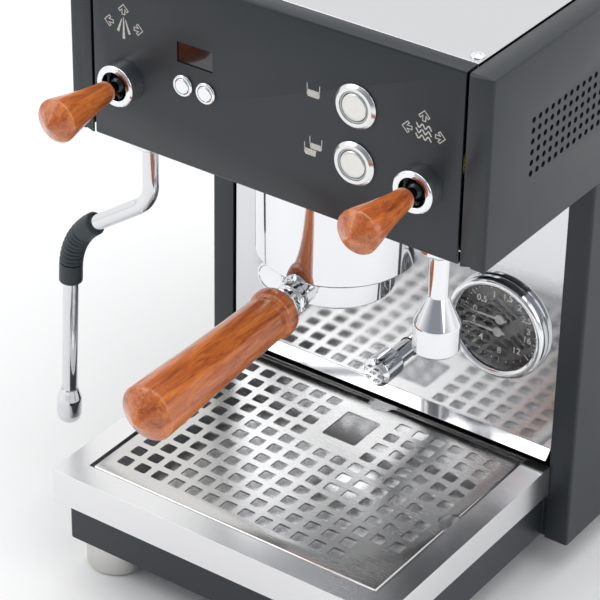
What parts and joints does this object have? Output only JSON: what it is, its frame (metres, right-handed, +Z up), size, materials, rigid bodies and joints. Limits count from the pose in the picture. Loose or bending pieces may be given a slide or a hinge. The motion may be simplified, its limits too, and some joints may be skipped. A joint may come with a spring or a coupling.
{
  "type": "espresso machine",
  "caption": "Counter-top two-boiler espresso machine with joystick valves, round chrome group cover, portafilter, steam and hot-water wands and a perforated drip tray.",
  "frame": {"origin": "on the counter, on the machine's centre plane, straight below the face of the front panel", "axes": "+X to the machine's right seen from the front, +Y to its back, +Z up"},
  "size_m": [0.3227, 0.5339, 0.4059],
  "materials": {
    "black_powder_coat": "fine matt powder coat",
    "foot_steel": "satin turned",
    "chassis_steel": "matt",
    "mirror_steel": "mirror polished stainless steel",
    "brushed_steel": "brushed",
    "chrome": "polished chrome plate",
    "display_window": "smoked gloss",
    "brass": "machined",
    "black_rubber": "matt",
    "boiler_steel": "satin",
    "black_plastic": "moulded",
    "copper": "drawn copper tube",
    "switch_red": "moulded",
    "gauge_dial": "printed",
    "needle_white": "painted",
    "ring_plastic": "clear acrylic",
    "wood": "oiled and varnished",
    "seat_plastic": "PTFE",
    "wand_steel": "polished stainless steel",
    "gauge_glass": "clear",
    "tank_plastic": "clear moulded"
  },
  "bodies": {
    "housing": {"base_frame": "black_powder_coat", "feet": "foot_steel", "lower_side_left": "black_powder_coat", "lower_side_right": "black_powder_coat", "upper_side_left": "black_powder_coat", "upper_side_right": "black_powder_coat", "front_panel": "black_powder_coat", "head_floor": "chassis_steel", "backsplash": "mirror_steel", "rear_panel": "black_powder_coat", "cup_tray": "brushed_steel", "cup_tray_screws": "chrome", "display_window": "display_window", "group_cover": "chrome", "group_head": "brass", "bayonet_ring": "brushed_steel", "group_gasket": "black_rubber", "shower_screen": "brushed_steel", "coffee_boiler": "boiler_steel", "steam_boiler": "boiler_steel", "heating_elements": "boiler_steel", "boiler_valves": "brass", "water_pump": "black_plastic", "copper_pipes": "copper", "control_box": "black_plastic", "power_inlet": "black_plastic", "valve_bodies": "brass", "lever_bezels": "chrome", "wand_nuts": "chrome", "gauge_case": "chrome", "gauge_dial": "gauge_dial", "gauge_glass": "gauge_glass", "button_bezels": "brushed_steel", "light_rings": "ring_plastic", "drain_nozzle": "chrome"},
    "steam_lever_yoke": {"steam_lever_yoke": "boiler_steel"},
    "steam_lever": {"steam_lever_rod": "black_plastic", "steam_lever_handle": "wood"},
    "water_lever_yoke": {"water_lever_yoke": "boiler_steel"},
    "water_lever": {"water_lever_rod": "black_plastic", "water_lever_handle": "wood"},
    "brew_button_one": {"brew_button_one": "brushed_steel"},
    "brew_button_two": {"brew_button_two": "brushed_steel"},
    "set_button_left": {"set_button_left": "chrome"},
    "set_button_right": {"set_button_right": "chrome"},
    "steam_swivel": {"steam_wand_seat": "seat_plastic"},
    "steam_wand": {"steam_wand_tube": "wand_steel", "steam_wand_grip": "black_rubber", "steam_wand_tip": "wand_steel"},
    "water_wand": {"water_wand": "chrome"},
    "portafilter": {"portafilter_body": "chrome", "filter_basket": "brushed_steel", "portafilter_handle": "wood"},
    "drip_tray": {"drip_tray": "brushed_steel"},
    "drip_grid": {"drip_grid": "brushed_steel"},
    "water_tank": {"water_tank": "tank_plastic"},
    "tank_lid": {"tank_lid": "brushed_steel"},
    "needle_boiler": {"needle_boiler": "needle_white"},
    "needle_pump": {"needle_pump": "needle_white"},
    "power_switch": {"power_switch": "switch_red"}
  },
  "joints": [
    {"name": "steam_lever_swing", "type": "hinge", "parent": "housing", "child": "steam_lever_yoke", "pos_m": [-0.102, -0.005, 0.3285], "axis": [0, 0, 1], "range_deg": [-18, 18]},
    {"name": "steam_lever_lift", "type": "hinge", "parent": "steam_lever_yoke", "child": "steam_lever", "pos_m": [-0.102, -0.005, 0.3285], "axis": [-1, 0, 0], "range_deg": [0, 18], "stiffness_Nm_per_rad": 0.25},
    {"name": "water_lever_swing", "type": "hinge", "parent": "housing", "child": "water_lever_yoke", "pos_m": [0.102, -0.005, 0.3285], "axis": [0, 0, 1], "range_deg": [-18, 18]},
    {"name": "water_lever_lift", "type": "hinge", "parent": "water_lever_yoke", "child": "water_lever", "pos_m": [0.102, -0.005, 0.3285], "axis": [-1, 0, 0], "range_deg": [0, 18], "stiffness_Nm_per_rad": 0.25},
    {"name": "brew_button_one_press", "type": "slide", "parent": "housing", "child": "brew_button_one", "axis": [0, 1, 0], "range_m": [0, 0.0015], "stiffness_N_per_m": 600},
    {"name": "brew_button_two_press", "type": "slide", "parent": "housing", "child": "brew_button_two", "axis": [0, 1, 0], "range_m": [0, 0.0015], "stiffness_N_per_m": 600},
    {"name": "set_button_left_press", "type": "slide", "parent": "housing", "child": "set_button_left", "axis": [0, 1, 0], "range_m": [0, 0.001], "stiffness_N_per_m": 400},
    {"name": "set_button_right_press", "type": "slide", "parent": "housing", "child": "set_button_right", "axis": [0, 1, 0], "range_m": [0, 0.001], "stiffness_N_per_m": 400},
    {"name": "steam_wand_swivel", "type": "hinge", "parent": "housing", "child": "steam_swivel", "pos_m": [-0.102, 0.021, 0.283], "axis": [0, 0, 1], "range_deg": [-60, 60]},
    {"name": "steam_wand_tilt", "type": "hinge", "parent": "steam_swivel", "child": "steam_wand", "pos_m": [-0.102, 0.021, 0.283], "axis": [0, 1, 0], "range_deg": [0, 20]},
    {"name": "water_wand_tilt", "type": "hinge", "parent": "housing", "child": "water_wand", "pos_m": [0.102, 0.021, 0.283], "axis": [1, 0, 0], "range_deg": [-18, 10]},
    {"name": "portafilter_turn", "type": "hinge", "parent": "housing", "child": "portafilter", "pos_m": [0, 0.0707, 0.2198], "axis": [0, 0, 1], "range_deg": [-45, 0]},
    {"name": "drip_tray_pull", "type": "slide", "parent": "housing", "child": "drip_tray", "axis": [0, -1, 0], "range_m": [0, 0.17]},
    {"name": "drip_grid_lift", "type": "slide", "parent": "drip_tray", "child": "drip_grid", "axis": [0, 0, 1], "range_m": [0, 0.03]},
    {"name": "water_tank_lift", "type": "slide", "parent": "housing", "child": "water_tank", "axis": [0, 0, 1], "range_m": [0, 0.12]},
    {"name": "tank_lid_lift", "type": "slide", "parent": "water_tank", "child": "tank_lid", "axis": [0, 0, 1], "range_m": [0, 0.05]},
    {"name": "needle_boiler_turn", "type": "hinge", "parent": "housing", "child": "needle_boiler", "pos_m": [0.079, 0.1318, 0.1667], "axis": [0, 1, 0], "range_deg": [0, 160], "stiffness_Nm_per_rad": 0.0005},
    {"name": "needle_pump_turn", "type": "hinge", "parent": "housing", "child": "needle_pump", "pos_m": [0.079, 0.1318, 0.1589], "axis": [0, -1, 0], "range_deg": [0, 160], "stiffness_Nm_per_rad": 0.0005},
    {"name": "power_switch_rock", "type": "hinge", "parent": "housing", "child": "power_switch", "pos_m": [-0.036, 0.401, 0.082], "axis": [1, 0, 0], "range_deg": [0, 10]}
  ]
}
